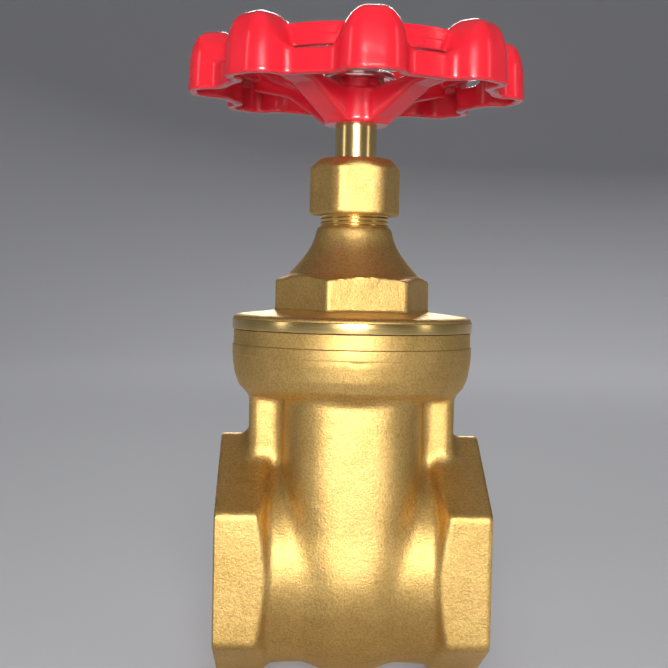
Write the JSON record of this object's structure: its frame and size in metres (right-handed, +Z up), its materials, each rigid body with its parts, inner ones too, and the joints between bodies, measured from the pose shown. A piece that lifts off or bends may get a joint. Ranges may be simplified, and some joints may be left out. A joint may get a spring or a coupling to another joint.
{
  "type": "water shutoff valve",
  "caption": "Brass screwed-bonnet gate valve with hexagonal pipe sockets, non-rising stem and a knobbed red handwheel that lifts a wedge.",
  "frame": {"origin": "centre of the waterway, half way between the two pipe ends", "axes": "+X along the pipe, +Z up the stem towards the handwheel, -Y towards the front of the valve"},
  "size_m": [0.0648, 0.0648, 0.1251],
  "materials": {
    "cast_brass": "satin, shot blasted",
    "turned_brass": "polished",
    "red_enamel": "gloss",
    "bright_steel": "polished",
    "packing": "matte",
    "gasket": "matte"
  },
  "bodies": {
    "valve": {"body": "cast_brass", "bonnet": "cast_brass", "bonnet_gasket": "gasket", "stem_retaining_ring": "turned_brass", "packing_washer": "turned_brass", "packing_ring_1": "packing", "packing_ring_2": "packing", "packing_ring_3": "packing", "packing_gland": "turned_brass", "packing_nut": "cast_brass"},
    "stem_and_wheel": {"stem": "turned_brass", "handwheel": "red_enamel", "wheel_plate": "bright_steel", "wheel_spring_washer": "bright_steel", "wheel_nut": "bright_steel"},
    "gate": {"wedge": "cast_brass"}
  },
  "joints": [
    {"name": "stem_turn", "type": "hinge", "parent": "valve", "child": "stem_and_wheel", "pos_m": [0, 0, 0.07], "axis": [0, 0, 1], "range_deg": [-3180, 0]},
    {"name": "wedge_lift", "type": "slide", "parent": "valve", "child": "gate", "axis": [0, 0, 1], "range_m": [-0.0266, 0]}
  ],
  "couplings": [
    {"joint": "wedge_lift", "follows": "stem_turn", "m_per_rad": 0.00047746}
  ]
}
